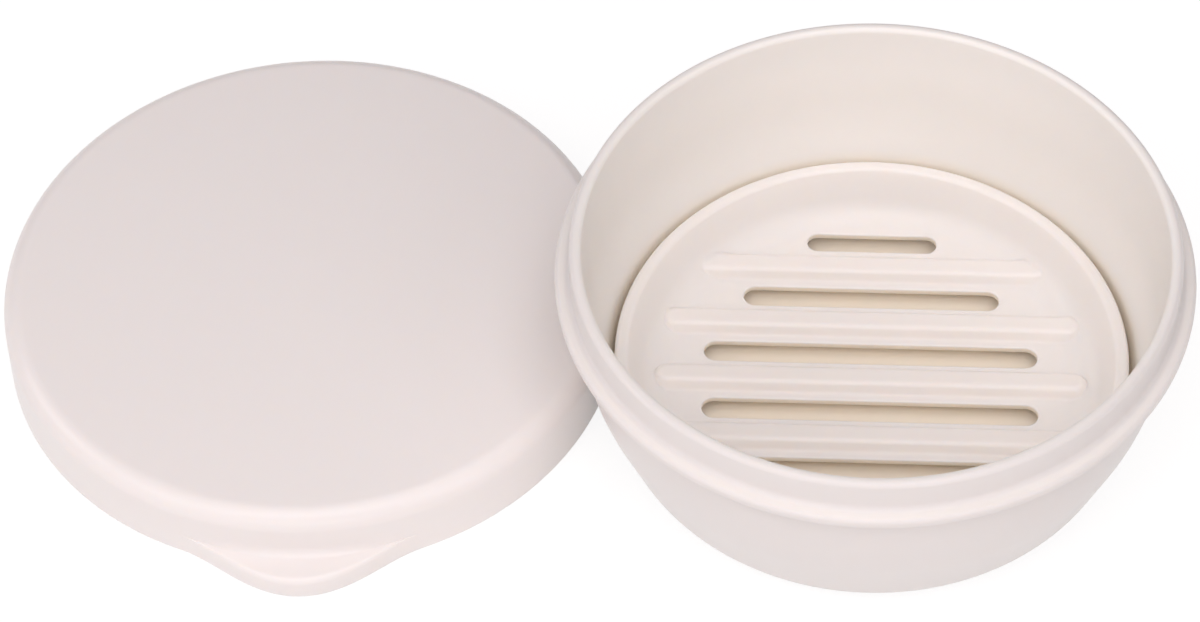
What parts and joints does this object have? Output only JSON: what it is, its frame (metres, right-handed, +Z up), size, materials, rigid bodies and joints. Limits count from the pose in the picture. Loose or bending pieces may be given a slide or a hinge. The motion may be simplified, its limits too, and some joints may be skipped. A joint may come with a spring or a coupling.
{
  "type": "soap dish",
  "caption": "Round plastic soap dish: a flanged bowl with a lift-out slotted drain tray, and a domed lid with a pull tab lying beside it.",
  "frame": {"origin": "centre of the bowl's flat underside, on the surface that the dish stands on", "axes": "+Z up along the bowl's axis; the tray's slots run along X; the lid lies on the -X side with its pull tab towards -Y"},
  "size_m": [0.2065, 0.1227, 0.0428],
  "materials": {
    "bowl_plastic": "satin to glossy warm off-white moulded plastic",
    "tray_plastic": "satin warm off-white moulded plastic",
    "lid_plastic": "glossy warm off-white moulded plastic"
  },
  "bodies": {
    "bowl": {"bowl": "bowl_plastic"},
    "tray": {"drain_tray": "tray_plastic"},
    "lid": {"lid": "lid_plastic"}
  },
  "joints": [
    {"name": "tray_lift", "type": "slide", "parent": "bowl", "child": "tray", "axis": [0, 0, 1], "range_m": [0, 0.045]},
    {"name": "lid_lift", "type": "slide", "parent": "bowl", "child": "lid", "axis": [-0.5673, 0.0848, 0.8192], "range_m": [0, 0.06]}
  ]
}
